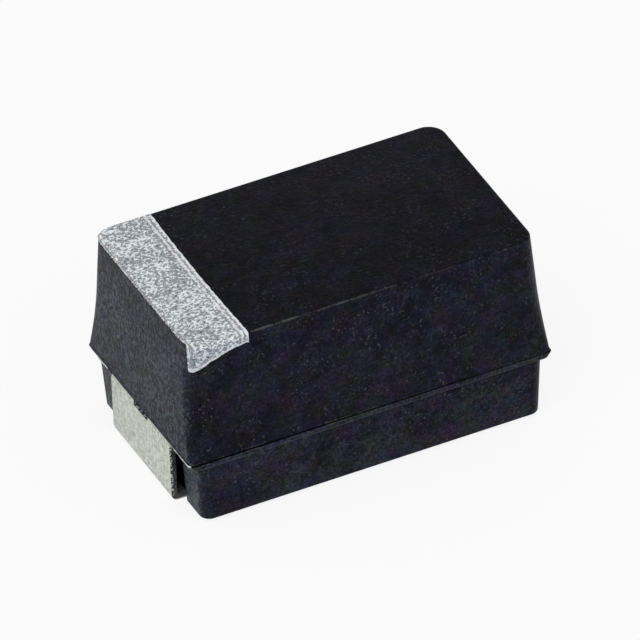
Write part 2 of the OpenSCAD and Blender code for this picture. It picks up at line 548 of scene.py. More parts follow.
class GroupShelf:
    """Surface effects that several finishes use, each built once."""

    speck_ease = 0.07
    edge_highlight_ease = 0.14
    finer = 4.3
    hue_finer = 1.6

    def __init__(self) -> None:
        """Build every group."""
        self.specks = self._specks()
        self.mottle = self._mottle()
        self.painted_edge_highlight = self._painted_edge_highlight()

    def _start(
        self, name: str, values: dict[str, float], outputs: dict[str, str]
    ) -> tuple[NodeBench, bpy.types.NodeOutputs, bpy.types.NodeInputs]:
        """Make an empty group that takes coordinates and some values.

        Args:
            name: Name of the group.
            values: Default of each value that it takes beside Vector.
            outputs: Socket type of each output.

        Returns:
            The bench, what comes in and what goes out.
        """
        tree = bpy.data.node_groups.new(name, "ShaderNodeTree")
        tree.interface.new_socket("Vector", in_out="INPUT", socket_type="NodeSocketVector")
        for label, default in values.items():
            socket = tree.interface.new_socket(label, in_out="INPUT", socket_type="NodeSocketFloat")
            socket.default_value = default
        for label, kind in outputs.items():
            tree.interface.new_socket(label, in_out="OUTPUT", socket_type=kind)
        bench = NodeBench(tree)
        return bench, bench.add("NodeGroupInput").outputs, bench.add("NodeGroupOutput").inputs

    def _specks(self) -> bpy.types.NodeTree:
        """Sparse grains that stand out from their surroundings.

        Returns:
            A group with inputs Vector, Per mm and Edge, and output Mask.
        """
        values = {"Per mm": 20.0, "Edge": 0.7}
        bench, into, out = self._start("specks", values, {"Mask": "NodeSocketFloat"})
        grains = bench.cloud(into["Vector"], into["Per mm"], 1.5, 0.6)
        upper = bench.math("ADD", into["Edge"], self.speck_ease)
        bench.wire(out["Mask"], bench.remap(grains, into["Edge"], upper))
        return bench.tree

    def _mottle(self) -> bpy.types.NodeTree:
        """Soft clouds of two sizes with a drift of hue.

        Returns:
            A group with inputs Vector and Per mm, and outputs Shade and Hue.
        """
        outputs = {"Shade": "NodeSocketFloat", "Hue": "NodeSocketColor"}
        bench, into, out = self._start("mottle", {"Per mm": 3.0}, outputs)
        broad = bench.cloud(into["Vector"], into["Per mm"], 3.0, 0.6)
        small = bench.cloud(into["Vector"], bench.times(into["Per mm"], self.finer), 2.0, 0.6)
        both = bench.math("MULTIPLY_ADD", small, 0.5, bench.times(broad, 0.5))
        moved = bench.place(into["Vector"], shift=(7.1, 3.3, 5.9))
        hue_scale = bench.times(into["Per mm"], self.hue_finer)
        bench.wire(out["Shade"], bench.remap(both, 0.3, 0.7))
        bench.wire(out["Hue"], bench.cloud(moved, hue_scale, 3.0, 0.6, colour=True))
        return bench.tree

    def _painted_edge_highlight(self) -> bpy.types.NodeTree:
        """Mask of a painted highlight on the rounded edges round the top, broken up by noise.

        Returns:
            A group with inputs Vector and Break, and output Mask.
        """
        bench, into, out = self._start("painted_edge_highlight", {"Break": 0.5}, {"Mask": "NodeSocketFloat"})
        normal = bench.add("ShaderNodeNewGeometry").outputs["Normal"]
        on_edge = bench.between(bench.split(normal)[2], (0.2, 0.5), (0.8, 0.98))
        highlight_breaks = bench.cloud(into["Vector"], 2.6, 4.0, 0.65)
        upper = bench.math("ADD", into["Break"], self.edge_highlight_ease)
        bench.wire(out["Mask"], bench.times(on_edge, bench.remap(highlight_breaks, into["Break"], upper)))
        return bench.tree


@dataclass(frozen=True)
class Finish:
    """A procedural finish, whose kinds each paint their own nodes."""

    shelf: GroupShelf
    pale: Colour

    def paint(self, bench: MaterialBench) -> None:
        """Lay the finish's own nodes.

        Args:
            bench: The material's bench.
        """
        raise NotImplementedError

    def make(self, name: str) -> bpy.types.Material:
        """Build the material.

        Args:
            name: Name of the material.

        Returns:
            The material.
        """
        material = bpy.data.materials.new(name)
        material.use_nodes = True
        material.diffuse_color = (*self.pale, 1.0)
        self.paint(MaterialBench(material))
        return material


@dataclass(frozen=True)
class MouldingFinish(Finish):
    """Matt black filled epoxy: blue-black, patchy, with a fine grain and stray filler specks."""

    pale: Colour = (0.0092, 0.0086, 0.0178)
    dark: Colour = (0.0013, 0.0013, 0.0036)
    # Makes the colour below the parting line paler.
    lower_paler_factor: Colour = (2.2, 2.5, 1.9)
    speck_colour: Colour = (0.045, 0.048, 0.055)
    # Painted highlight line at the belt's foot.
    foot_highlight_tone: Colour = (0.060, 0.064, 0.072)
    # Painted highlight on the rounded top edges.
    edge_highlight_tone: Colour = (0.090, 0.088, 0.092)
    # Painted sheen on the end faces.
    end_sheen_tone: Colour = (0.052, 0.072, 0.080)
    # Painted shadow in the crevice at the parting line and in the grooves.
    crevice_shadow_tone: Colour = (0.0008, 0.0006, 0.0014)
    belt_h: float = 0.12
    foot_highlight_up: float = 0.012
    top_span: Span = (3.87, 3.9)
    end_facing: Span = (0.7, 0.98)
    crevice_shadow_rise: Span = (PARTING_Z - 0.006, PARTING_Z + 0.001)
    crevice_shadow_fall: Span = (PARTING_Z + 0.012, PARTING_Z + 0.03)
    belt_fall: Span = (PARTING_Z - 0.004, PARTING_Z + 0.004)
    level_ease: float = 0.01
    foot_highlight_edge: Span = (0.022, 0.008)
    # Painted shadow on the groove's back wall.
    groove_shadow_span: Span = (3.39, 3.37)
    edge_highlight_span: Span = (1.5, -1.0)
    edge_highlight_shares: Span = (0.12, 0.7)
    edge_highlight_break: float = 0.43
    mottle_per_mm: float = 1.5
    hue_gain: float = 2.4
    # Painted shade on the top face.
    top_shade_share: float = 0.55
    top_specks: float = 0.5
    # Painted highlight on the belt.
    belt_highlight_gain: float = 1.35
    belt_specks: float = 0.75
    grit: Grain = Grain(20.0, 2.0, 0.7, low=0.32, high=0.68, to_low=0.4, to_high=1.7)
    gather: Grain = Grain(1.9, 2.0, 0.5, low=0.44, high=0.6, to_low=0.12)
    foot_highlight_gaps: Grain = Grain(4.0, 4.0, 0.7, low=0.40, high=0.58, to_low=0.1)
    end_sheen_fine: Grain = Grain(11.0, 4.0, 0.8, low=0.46, high=0.62)
    end_sheen_broad: Grain = Grain(1.3, 3.0, 0.6, low=0.35, high=0.65, to_low=0.6, to_high=1.4)
    roughness: Span = (0.28, 0.5)
    specular: float = 0.06
    grain_depth_mm: float = 0.012

    def base(self, bench: MaterialBench) -> Socket:
        """Patchy blue-black of the resin, level by level of the case: painted shade on the top, a painted
        highlight from the belt's foot up, and paler below the parting line.

        Args:
            bench: The material's bench.

        Returns:
            The colour.
        """
        mottle = bench.use(self.shelf.mottle, Vector=bench.at, Per_mm=self.mottle_per_mm).outputs
        colour = bench.blend(mottle["Shade"], self.dark, self.pale)
        tinted = bench.blend(1.0, colour, bench.stretch(mottle["Hue"], self.hue_gain), "MULTIPLY")
        below = bench.remap(bench.height, PARTING_Z, PARTING_Z - self.level_ease)
        # Painted shade: the top face is made darker by top_shade_share.
        on_top = bench.remap(bench.height, *self.top_span, 1.0, self.top_shade_share)
        foot = PARTING_Z - self.belt_h
        # Painted highlight: from the belt's foot up the colour is made lighter, so the belt stands out from
        # the lower half.
        belt = bench.remap(bench.height, foot - self.level_ease, foot, 1.0, self.belt_highlight_gain)
        level = bench.times(on_top, belt, bench.grain(bench.at, self.grit))
        levelled = bench.blend(1.0, tinted, bench.grey(level), "MULTIPLY")
        # Below the parting line the colour is multiplied by lower_paler_factor, which makes it paler.
        return bench.blend(below, levelled, self.lower_paler_factor, "MULTIPLY")

    def scatter(self, bench: MaterialBench) -> Socket:
        """Mask of the light specks: a fine scatter, gathered in clusters, and a few larger grains.

        Args:
            bench: The material's bench.

        Returns:
            The mask.
        """
        specks = self.shelf.specks
        moved = bench.place(bench.at, shift=(3.0, 8.0, 1.0))
        fine = bench.use(specks, Vector=bench.at, Per_mm=17.0, Edge=0.60).outputs["Mask"]
        large = bench.use(specks, Vector=moved, Per_mm=14.0, Edge=0.69).outputs["Mask"]
        dense = bench.use(specks, Vector=moved, Per_mm=18.0, Edge=0.54).outputs["Mask"]
        gathered = bench.times(fine, bench.grain(bench.at, self.gather))
        on_top = bench.remap(bench.height, *self.top_span, 1.0, self.top_specks)
        scattered = bench.times(bench.math("MAXIMUM", gathered, large), on_top)
        in_belt = bench.times(dense, self.belt_mask(bench), self.belt_specks)
        return bench.math("MAXIMUM", scattered, in_belt)

    def belt_mask(self, bench: MaterialBench) -> Socket:
        """Mask of the belt between its foot and the parting line."""
        foot = PARTING_Z - self.belt_h
        return bench.between(bench.height, (foot - self.level_ease, foot), self.belt_fall)

    def foot_highlight(self, bench: MaterialBench) -> Socket:
        """Mask of a thin painted highlight line along the belt's foot, broken here and there.

        Args:
            bench: The material's bench.

        Returns:
            The mask.
        """
        highlight_z = PARTING_Z - self.belt_h + self.foot_highlight_up
        away = bench.size(bench.math("SUBTRACT", bench.height, highlight_z))
        return bench.times(bench.remap(away, *self.foot_highlight_edge), bench.grain(bench.at, self.foot_highlight_gaps))

    def paint(self, bench: MaterialBench) -> None:
        """Lay a painted sheen on the end faces, specks, a painted highlight on the top edges, a painted
        highlight line at the belt's foot, and painted shadow lines at the parting line and in the grooves
        over the resin.

        Args:
            bench: The material's bench.
        """
        # Painted sheen: faces that look along X are made lighter with a speckled pale tone.
        endwise = bench.remap(bench.facing(0), *self.end_facing)
        broad = bench.grain(bench.at, self.end_sheen_broad)
        end_sheen_mask = bench.times(endwise, bench.grain(bench.at, self.end_sheen_fine), broad)
        end_sheen = bench.blend(end_sheen_mask, (0.0, 0.0, 0.0), self.end_sheen_tone)
        colour = bench.blend(1.0, self.base(bench), end_sheen, "ADD")
        # Painted highlight along the rounded top edges, stronger towards the anode end.
        edge_highlight_mask = bench.use(self.shelf.painted_edge_highlight, Vector=bench.at, Break=self.edge_highlight_break).outputs["Mask"]
        edge_highlight_share = bench.times(edge_highlight_mask, bench.remap(bench.along, *self.edge_highlight_span, *self.edge_highlight_shares))
        # Painted shadow: the end faces deep in the groove behind each strip are made near black.
        groove = bench.times(endwise, bench.remap(bench.size(bench.along), *self.groove_shadow_span))
        for mask, tone in (
            (self.scatter(bench), self.speck_colour),
            (edge_highlight_share, self.edge_highlight_tone),
            # Painted highlight line at the belt's foot.
            (self.foot_highlight(bench), self.foot_highlight_tone),
            # Painted shadow: a near-black line at the parting line, in the crevice above the belt.
            (bench.between(bench.height, self.crevice_shadow_rise, self.crevice_shadow_fall), self.crevice_shadow_tone),
            (groove, self.crevice_shadow_tone),
        ):
            colour = bench.blend(mask, colour, tone)
        grain = bench.cloud(bench.at, 16.0, 3.0, 0.65)
        bench.dress(
            bench.math("MULTIPLY_ADD", bench.cloud(bench.at, 5.0), 0.6, grain),
            self.grain_depth_mm,
            Base_Color=colour,
            Roughness=bench.remap(grain, 0.3, 0.7, *self.roughness),
            Specular_IOR_Level=self.specular,
        )


@dataclass(frozen=True)
class StripFinish(Finish):
    """Matt tin plate over the strip, with bare sheared edges."""

    pale: Colour = (0.79, 0.81, 0.73)
    dark: Colour = (0.34, 0.37, 0.31)
    # Dark of bare metal and painted shade, on the sheared edges and the inner faces.
    bare_and_shade_dark: Colour = (0.03, 0.03, 0.035)
    shear_pale: Colour = (0.72, 0.72, 0.70)
    shear_foot: Colour = (0.50, 0.40, 0.37)
    mottle_per_mm: float = 4.2
    fine_share: float = 0.55
    sheared_from: Span = (0.8, 0.93)
    torn: Grain = Grain(22.0, 2.0, 0.6, low=0.49, high=0.58)
    burr_span: Span = (3.56, 3.595)
    burr_least: float = 0.15
    low_bend_span: Span = (0.15, 0.1)
    foot_span: Span = (0.035, 0.015)
    slot_half_span: Span = (0.31, 0.29)
    slot_height: Span = (1.15, 1.17)
    slot_in: Span = (-3.4, -3.5)
    slot_face: Span = (-3.618, -3.610)
    # Painted shade on the strip's inner faces.
    inner_shade_span: Span = (3.57, 3.54)
    inner_shade_height: Span = (0.05, 0.1)
    inner_shade_share: float = 0.85
    metallic: float = 0.25
    roughness: Span = (0.42, 0.6)
    grain_depth_mm: float = 0.004

    def sheared_edge(self, bench: MaterialBench, beside_slot: Socket) -> Socket:
        """Broken metal, dark partly as bare metal and partly as painted shade, with pale burr flecks, and a
        rusty foot.

        Args:
            bench: The material's bench.
            beside_slot: Mask of the strip's middle, where the slot is.

        Returns:
            The colour.
        """
        outward = bench.remap(bench.size(bench.along), *self.burr_span, self.burr_least, 1.0)
        shown = bench.math("MAXIMUM", outward, beside_slot)
        flecked = bench.times(bench.grain(bench.at, self.torn), shown)
        edge = bench.blend(flecked, self.bare_and_shade_dark, self.shear_pale)
        # Darker towards the bottom bend.
        edge = bench.blend(bench.remap(bench.height, *self.low_bend_span), edge, self.bare_and_shade_dark)
        return bench.blend(bench.remap(bench.height, *self.foot_span), edge, self.shear_foot)

    def paint(self, bench: MaterialBench) -> None:
        """Lay mottled tin, darkened on its inner faces by painted shade, and bare metal on the sheared
        edges and in the slot.

        Args:
            bench: The material's bench.
        """
        mottle = bench.use(self.shelf.mottle, Vector=bench.at, Per_mm=self.mottle_per_mm).outputs["Shade"]
        fine = bench.cloud(bench.at, 15.0, 3.0, 0.7)
        soft = bench.times(mottle, 1.0 - self.fine_share)
        shade = bench.math("MULTIPLY_ADD", bench.remap(fine, 0.40, 0.60), self.fine_share, soft)
        tin = bench.blend(shade, self.dark, self.pale)
        # Painted shade on the strip's inner faces.
        inner = bench.remap(bench.size(bench.along), *self.inner_shade_span)
        inner_shade = bench.times(inner, bench.remap(bench.height, *self.inner_shade_height), self.inner_shade_share)
        shaded_tin = bench.blend(inner_shade, tin, self.bare_and_shade_dark)
        sheared = bench.remap(bench.facing(1, "True Normal"), *self.sheared_from)
        beside_slot = bench.remap(bench.size(bench.aside), *self.slot_half_span)
        in_slot = bench.times(
            beside_slot,
            bench.remap(bench.along, *self.slot_in),
            bench.remap(bench.along, *self.slot_face),
            bench.remap(bench.height, *self.slot_height),
        )
        edge = self.sheared_edge(bench, beside_slot)
        bare = bench.math("MAXIMUM", sheared, in_slot)
        bench.dress(
            fine,
            self.grain_depth_mm,
            Base_Color=bench.blend(bare, shaded_tin, edge),
            Roughness=bench.remap(fine, 0.3, 0.7, *self.roughness),
            Metallic=self.metallic,
        )


@dataclass(frozen=True)
class LongLine:
    """A broken line along the band, by its place across the band's width."""

    tone: Colour
    middle: float
    half_w: float
    strength: float
    gaps_at: float = 0.42


@dataclass(frozen=True)
class CrossLine:
    """A broken line across the band, by its place from the hem's rim to the far edge."""

    tone: Colour
    low: float
    high: float
    strength: float
    gaps_at: float


GROUND_TONE: Colour = (0.29, 0.32, 0.345)
RIM_TONE: Colour = (0.93, 0.94, 0.95)
RUST_TONE: Colour = (0.26, 0.15, 0.10)
CREASE_TONE: Colour = (0.34, 0.20, 0.13)
FAR_TONE: Colour = (0.80, 0.70, 0.68)


@dataclass(frozen=True)
class BandFinish(Finish):
    """Silvery mark of closely packed pale flecks over the dark moulding."""

    pale: Colour = (0.88, 0.95, 0.98)
    pit: Colour = (0.10, 0.11, 0.13)
    # Painted shade on the hem down the side.
    side_shade_tone: Colour = (0.74, 0.76, 0.80)
    side_shade_span: Span = (3.78, 3.87)
    fleck_stretch: float = 1.3
    cover: Span = (0.45, 0.56)
    drift: Grain = Grain(1.6, 2.0, 0.5, low=0.35, high=0.65, to_low=-0.025, to_high=0.015)
    pits: Grain = Grain(21.0, 2.0, 0.6, low=0.56, high=0.62)
    long_lines: tuple[LongLine, ...] = (
        LongLine(GROUND_TONE, middle=0.945, half_w=0.018, strength=0.85),
        LongLine(GROUND_TONE, middle=0.865, half_w=0.014, strength=0.75),
        LongLine(GROUND_TONE, middle=0.095, half_w=0.02, strength=0.7),
        LongLine(RIM_TONE, middle=0.985, half_w=0.030, strength=0.95),
        LongLine(RIM_TONE, middle=0.905, half_w=0.020, strength=0.8),
        LongLine(RIM_TONE, middle=0.03, half_w=0.022, strength=0.9),
        LongLine(RUST_TONE, middle=0.068, half_w=0.02, strength=0.7, gaps_at=0.5),
    )
    cross_lines: tuple[CrossLine, ...] = (
        CrossLine(RIM_TONE, low=-0.01, high=0.018, strength=0.95, gaps_at=0.35),
        CrossLine(CREASE_TONE, low=0.135, high=0.150, strength=0.75, gaps_at=0.55),
        CrossLine(FAR_TONE, low=0.985, high=1.01, strength=0.8, gaps_at=0.45),
    )
    roughness: float = 0.55
    specular: float = 0.2
    relief_mm: float = 0.006

    def paint(self, bench: MaterialBench) -> None:
        """Lay flecks and pits, then the lines that follow the band's edges, then painted shade on the hem
        down the side.

        Args:
            bench: The material's bench.
        """
        across, down, _ = bench.split(bench.add("ShaderNodeTexCoord").outputs["UV"])
        squeezed = bench.place(bench.at, scale=(1.0, self.fleck_stretch, self.fleck_stretch))
        shade = bench.math("ADD", bench.cloud(squeezed, 18.0, 2.5, 0.7), bench.grain(bench.at, self.drift))
        cover = bench.remap(shade, *self.cover)
        moved = bench.place(bench.at, shift=(5.0, 1.0, 2.0))
        pitted = bench.blend(bench.grain(moved, self.pits), GROUND_TONE, self.pit)
        colour = bench.blend(cover, pitted, self.pale)
        for line in self.long_lines:
            colour = bench.blend(self.long_mask(bench, across, line), colour, line.tone)
        for line in self.cross_lines:
            colour = bench.blend(self.cross_mask(bench, down, line), colour, line.tone)
        # Painted shade: the band is made darker below the top.
        level = bench.remap(bench.height, *self.side_shade_span)
        shaded = bench.blend(bench.math("SUBTRACT", 1.0, level), colour, self.side_shade_tone, "MULTIPLY")
        bench.dress(
            cover,
            self.relief_mm,
            Base_Color=shaded,
            Roughness=self.roughness,
            Specular_IOR_Level=self.specular,
        )

    def long_mask(self, bench: MaterialBench, across: Socket, line: LongLine) -> Socket:
        """Mask of a line along the band, toothed and broken by noise.

        Args:
            bench: The material's bench.
            across: Share of the band's width, from the outer to the inner edge.
            line: The line.

        Returns:
            The mask.
        """
        reach = line.half_w * 0.6
        ragged = Grain(13.0, 2.0, 0.6, low=0.3, high=0.7, to_low=-reach, to_high=reach)
        teeth = bench.grain(bench.at, ragged)
        away = bench.size(bench.math("SUBTRACT", bench.math("ADD", across, teeth), line.middle))
        body = bench.remap(away, line.half_w, line.half_w * 0.55, 0.0, line.strength)
        moved = bench.place(bench.at, shift=(line.middle * 17.0, 2.0, 0.0))
        gaps = Grain(4.5, 3.0, 0.7, low=line.gaps_at - 0.06, high=line.gaps_at + 0.06)
        return bench.times(body, bench.grain(moved, gaps))

    def cross_mask(self, bench: MaterialBench, down: Socket, line: CrossLine) -> Socket:
        """Mask of a line across the band, broken by noise.

        Args:
            bench: The material's bench.
            down: Share of the band's run, from the hem's rim to the far edge.
            line: The line.

        Returns:
            The mask.
        """
        ease = 0.003
        inside = bench.between(down, (line.low, line.low + ease), (line.high - ease, line.high))
        gaps = Grain(6.0, 3.0, 0.7, low=line.gaps_at - 0.05, high=line.gaps_at + 0.05)
        return bench.times(inside, bench.grain(bench.at, gaps), line.strength)


@dataclass(frozen=True, kw_only=True)
class GrainyFinish(Finish):
    """Two shades of one material with a grain and a relief."""

    dark: Colour
    per_mm: float
    roughness: float
    metallic: float = 0.0
    relief_mm: float = 0.004
    roughness_play: float = 0.06

    def paint(self, bench: MaterialBench) -> None:
        """Lay mottle and specks between the two shades.

        Args:
            bench: The material's bench.
        """
        mottle = bench.use(self.shelf.mottle, Vector=bench.at, Per_mm=self.per_mm).outputs["Shade"]
        specks = bench.use(self.shelf.specks, Vector=bench.at, Per_mm=self.per_mm * 4.0, Edge=0.6)
        shade = bench.math("ADD", bench.times(mottle, 0.8), specks.outputs["Mask"], clamp=True)
        low, high = self.roughness - self.roughness_play, self.roughness + self.roughness_play
        bench.dress(
            shade,
            self.relief_mm,
            Base_Color=bench.blend(shade, self.dark, self.pale),
            Roughness=bench.remap(mottle, 0.0, 1.0, low, high),
            Metallic=self.metallic,
        )


# ---------------------------------------------------------------- sub-assemblies


@dataclass(frozen=True)
class Ring:
    """Rounded rectangle across the moulding at one height, in millimetres."""

    half_x: float
    half_y: float
    radius: float
    z: float


def lean(run: float, draft_deg: float) -> float:
    """How far a drafted wall leans in over a height."""
    return run * math.tan(math.radians(draft_deg))


def rounding(radius: float, steps: int) -> list[Span]:
    """Rise and inset of each ring along a rounded edge, from the wall to the flat."""
    turns = [QUARTER_TURN * step / steps for step in range(steps + 1)]
    return [(radius * math.sin(turn), radius * (1.0 - math.cos(turn))) for turn in turns]


def level_with(levels: Sequence[float]) -> Callable[[bmesh.types.BMEdge], bool]:
    """Test for edges that lie flat at one of several heights."""
    return lambda edge: any(all(abs(v.co.z - z) < TOUCH for v in edge.verts) for z in levels)


def loft(name: str, rings: Sequence[Ring], corner_steps: int) -> Piece:
    """Build a closed solid through a stack of rounded rectangles.

    Args:
        name: Name of the new object.
        rings: The rectangles, from the lowest up.
        corner_steps: Segments of each rounded corner.

    Returns:
        The solid, in millimetres.
    """
    clear_selection()
    bpy.ops.mesh.primitive_plane_add(size=2.0, location=(0.0, 0.0, 0.0))
    piece = bpy.context.object
    piece.name = name
    open_mesh(piece, "VERT")
    bpy.ops.mesh.select_all(action="SELECT")
    bpy.ops.mesh.delete(type="VERT")
    for ring in rings:
        bpy.ops.mesh.select_all(action="DESELECT")
        bpy.ops.mesh.primitive_plane_add(size=2.0, location=(0.0, 0.0, ring.z))
        size = (ring.half_x, ring.half_y, 1.0)
        bpy.ops.transform.resize(value=size, center_override=(0.0, 0.0, ring.z))
        bpy.ops.mesh.bevel(
            offset=ring.radius,
            offset_type="OFFSET",
            segments=corner_steps,
            affect="VERTICES",
            clamp_overlap=True,
        )
        bpy.ops.mesh.select_mode(type="FACE")
        bpy.ops.mesh.delete(type="ONLY_FACE")
        bpy.ops.mesh.select_mode(type="VERT")
    for lower, upper in zip(rings, rings[1:]):
        pick(piece, "EDGE", level_with((lower.z, upper.z)))
        bpy.ops.mesh.bridge_edge_loops()
    for cap in (rings[0].z, rings[-1].z):
        pick(piece, "EDGE", level_with((cap,)))
        bpy.ops.mesh.edge_face_add()
    bpy.ops.mesh.select_all(action="SELECT")
    bpy.ops.mesh.normals_make_consistent(inside=False)
    bpy.ops.object.mode_set(mode="OBJECT")
    return piece


@dataclass
class Moulding:
    """Black case: a tall drafted upper half over a set-back lower half, meeting at a parting line."""

    finish: bpy.types.Material
    upper_end_draft: float = 3.6
    upper_side_draft: float = 1.9
    width_at_parting: float = 4.28
    corner_r: float = 0.36
    corner_r_parting: float = 0.09
    corner_flare_h: float = 1.4
    top_edge_r: float = 0.05
    lower_end_setback: float = 0.15
    lower_end_draft: float = 3.4
    lower_side_draft: float = 2.0
    lower_corner_r: float = 0.21
    least_corner_r: float = 0.02
    underside_edge_r: float = 0.04
    belt_h: float = 0.12
    belt_out: float = 0.03
    belt_end_out: float = 0.02
    belt_end_draft: float = 38.0
    belt_step: float = 0.02
    belt_edge_r: float = 0.03
    belt_brow_r: float = 0.008
    belt_trim: float = 0.03
    twist_deg: float = 0.25
    bead_out: float = 0.01
    bead_h: float = 0.03
    bead_shape: tuple[Span, ...] = ((0.0, 0.4), (0.25, 1.0), (0.6, 0.8), (1.0, 0.0))
    corner_steps: int = 10
    flare_steps: int = 12
    edge_steps: int = 5
    root_h: float = 0.05
    root_inset: float = 0.5
    pad_l: float = 1.3
    strip_t: float = 0.12
    pocket_gap: float = 0.05
    pocket_edge_r: float = 0.03
    groove_play: float = 0.2
    groove_d: float = 0.14
    cut_past: float = 1.0
    smooth_deg: float = 32.0

    def __post_init__(self) -> None:
        """Read the case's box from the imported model."""
        low, high = node_box_mm("moulded_case")
        self.half_l = high.x
        self.top_z = high.z
        self.parting_depth = PARTING_Z - low.z

    def corner_at(self, height: float) -> float:
        """Corner radius of the upper half at a height above the parting line."""
        rise = math.sin(QUARTER_TURN * min(1.0, height / self.corner_flare_h))
        return self.corner_r_parting + (self.corner_r - self.corner_r_parting) * rise

    def upper_ring(self, height: float, inset: float) -> Ring:
        """Ring of the upper half at a height above the parting line, taken in by an edge's rounding."""
        return Ring(
            self.half_l - lean(height, self.upper_end_draft) - inset,
            self.width_at_parting / 2 - lean(height, self.upper_side_draft) - inset,
            max(self.corner_at(height) - inset, self.least_corner_r),
            PARTING_Z + height,
        )

    def lower_ring(self, depth: float, inset: float) -> Ring:
        """Ring of the lower half at a depth below the parting line, taken in by an edge's rounding."""
        half_y = self.width_at_parting / 2 + self.belt_out - self.belt_step
        return Ring(
            self.half_l - self.lower_end_setback - lean(depth, self.lower_end_draft) - inset,
            half_y - lean(depth - self.belt_h, self.lower_side_draft) - inset,
            max(self.lower_corner_r - inset, self.least_corner_r),
            PARTING_Z - depth,
        )

    def belt_ring(self, depth: float, inset: float) -> Ring:
        """Ring of the belt at a depth below the parting line, taken in by an edge's rounding."""
        return Ring(
            self.half_l + self.belt_end_out - lean(depth, self.belt_end_draft) - inset,
            self.width_at_parting / 2 + self.belt_out - inset,
            self.corner_r_parting,
            PARTING_Z - depth,
        )

    def build_upper(self) -> Piece:
        """Upper half, with a thin flash bead at its foot and a rounded top edge.

        Returns:
            The upper half, in millimetres.
        """
        side_h = self.top_z - PARTING_Z - self.top_edge_r
        flare_step = self.corner_flare_h / self.flare_steps
        bead = [self.upper_ring(self.bead_h * up, -self.bead_out * out) for up, out in self.bead_shape]
        flare = [self.upper_ring(flare_step * step, 0.0) for step in range(1, self.flare_steps + 1)]
        top_edge = rounding(self.top_edge_r, self.edge_steps)
        edge = [self.upper_ring(side_h + up, inset) for up, inset in top_edge]
        return loft("upper_half", bead + flare + edge, self.corner_steps)

    def build_lower(self) -> Piece:
        """Lower half with its belt and rounded underside, turned by the moulds' mismatch.

        Returns:
            The lower half, in millimetres.
        """
        under_z = self.parting_depth - self.underside_edge_r
        belt_z = self.belt_h - self.belt_edge_r
        underside = reversed(rounding(self.underside_edge_r, self.edge_steps))
        belt_edge = reversed(rounding(self.belt_edge_r, self.edge_steps))
        rings = [self.lower_ring(under_z + up, inset) for up, inset in underside]
        rings.append(self.lower_ring(self.belt_h + self.belt_step, 0.0))
        rings += [self.belt_ring(belt_z + up, inset) for up, inset in belt_edge]
        rings.append(self.belt_ring(self.belt_brow_r, 0.0))
        rings.append(self.belt_ring(0.0, self.belt_brow_r))
        rings.append(self.lower_ring(-TOUCH * 5, self.root_inset))
        rings.append(self.lower_ring(-self.root_h, self.root_inset))
        lower = loft("lower_half", rings, self.corner_steps)
        lower.matrix_world = Matrix.Rotation(math.radians(self.twist_deg), 4, "Z")
        take(lower)
        bpy.ops.object.transform_apply(location=False, rotation=True, scale=False)
        return lower

    def cut_box(self, body: Piece, low: Vector, high: Vector) -> None:
        """Cut a box with slightly rounded edges out of a body.

        Args:
            body: The body that is cut.
            low: Lowest corner, in millimetres.
            high: Highest corner.
        """
        clear_selection()
        bpy.ops.mesh.primitive_cube_add(size=1.0, location=(0.0, 0.0, 0.0))
        cutter = bpy.context.object
        open_mesh(cutter, "VERT")
        bpy.ops.mesh.select_all(action="SELECT")
        bpy.ops.transform.resize(value=high - low, center_override=(0.0, 0.0, 0.0))
        bpy.ops.transform.translate(value=(low + high) / 2)
        bpy.ops.object.mode_set(mode="OBJECT")
        apply_modifier(cutter, "BEVEL", width=self.pocket_edge_r, segments=3, limit_method="ANGLE")
        self.combine(body, cutter, "DIFFERENCE")

    def combine(self, body: Piece, other: Piece, operation: str) -> None:
        """Join a solid to a body, or cut it out, and use it up."""
        apply_modifier(body, "BOOLEAN", operation=operation, object=other, solver="EXACT")
        bpy.data.objects.remove(other)

    def openings(self, end: End) -> Iterator[tuple[Vector, Vector]]:
        """Boxes cut at one end: the pad's pocket and the groove that the strip stands in.

        Args:
            end: The end of the case.

        Yields:
            The lowest and highest corner of each box.
        """
        side = float(end.value)
        low, high = node_box_mm(f"{end.name.lower()}_terminal")
        pad_x = max(abs(low.x), abs(high.x)) - self.pad_l - self.pocket_gap
        wall_x = self.half_l - self.lower_end_setback - lean(self.belt_h, self.lower_end_draft)
        far_x = self.half_l + self.cut_past
        for near_x, half_y, top_z in (
            (pad_x, high.y + self.pocket_gap, self.strip_t + self.pocket_gap),
            (wall_x - self.groove_d, high.y + self.groove_play, PARTING_Z + self.cut_past),
        ):
            near, far = sorted((side * near_x, side * far_x))
            yield Vector((near, -half_y, -self.cut_past)), Vector((far, half_y, top_z))

    def build(self) -> Piece:
        """Whole case: both halves in one, with the pad pockets, and the belt trimmed at the anode end.

        Returns:
            The finished piece.
        """
        case = self.build_upper()
        lower = self.build_lower()
        for end in End:
            for low, high in self.openings(end):
                self.cut_box(lower, low, high)
        past = self.half_l + self.cut_past
        trim_high = Vector((self.belt_trim - self.half_l, past, PARTING_Z + self.cut_past))
        self.cut_box(lower, Vector((-past, -past, -self.cut_past)), trim_high)
        self.combine(case, lower, "UNION")
        case.name = "black_moulding"
        hand_over(case, self.finish, Slot.MOULDING, ["moulded_case"], self.smooth_deg)
        return case


